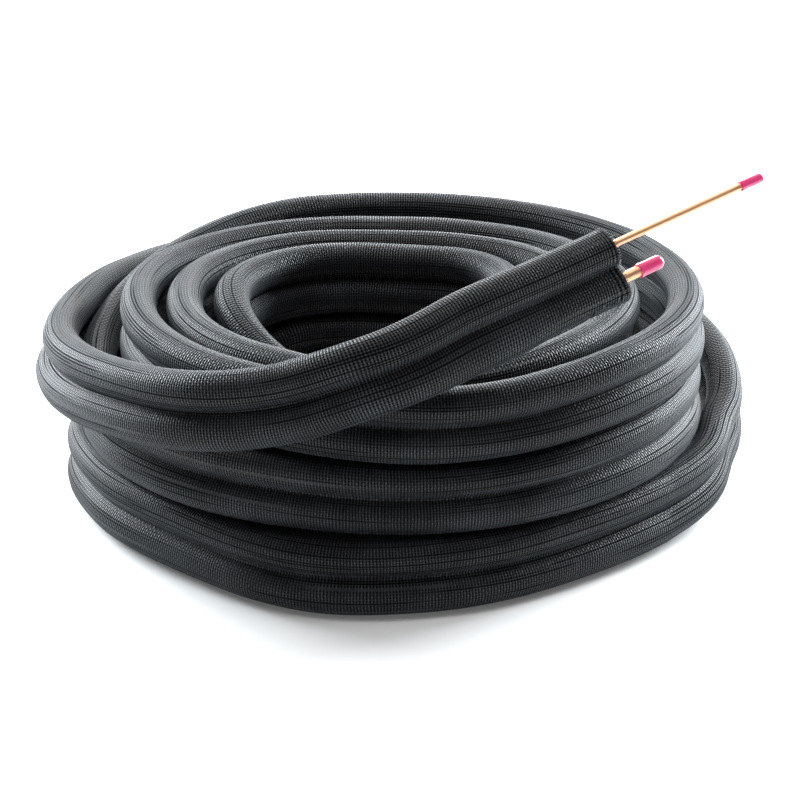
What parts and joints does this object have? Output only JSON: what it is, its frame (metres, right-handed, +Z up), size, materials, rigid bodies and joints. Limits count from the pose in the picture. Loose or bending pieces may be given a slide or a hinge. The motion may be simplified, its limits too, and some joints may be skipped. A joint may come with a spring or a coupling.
{
  "type": "mini split line set",
  "caption": "Coil of paired insulated copper refrigerant tubes in one black woven jacket, wound in layers, with capped tube ends standing out of each cut end.",
  "frame": {"origin": "on the floor, under the middle of the coil's overall outline", "axes": "+Z up along the coil's winding axis; -Y is the front, over which the free end passes; +X is the side that the free end's bare tubes point to"},
  "size_m": [0.6372, 0.6096, 0.3284],
  "materials": {
    "woven_jacket": "black woven plastic mesh sleeve with fine lengthwise threads and close hoop threads, dull with a faint blue-grey sheen",
    "insulation_foam": "dark closed-cell foam, dull",
    "copper": "bright soft-drawn copper, smooth, lightly brushed along its length",
    "cap_vinyl": "glossy pink dipped vinyl"
  },
  "bodies": {
    "root": {"woven_jacket": "woven_jacket", "free_end_liquid_insulation": "insulation_foam", "free_end_liquid_tube": "copper", "free_end_liquid_cap": "cap_vinyl", "free_end_suction_insulation": "insulation_foam", "free_end_suction_tube": "copper", "free_end_suction_cap": "cap_vinyl", "far_end_liquid_insulation": "insulation_foam", "far_end_liquid_tube": "copper", "far_end_liquid_cap": "cap_vinyl", "far_end_suction_insulation": "insulation_foam", "far_end_suction_tube": "copper", "far_end_suction_cap": "cap_vinyl"}
  },
  "joints": []
}
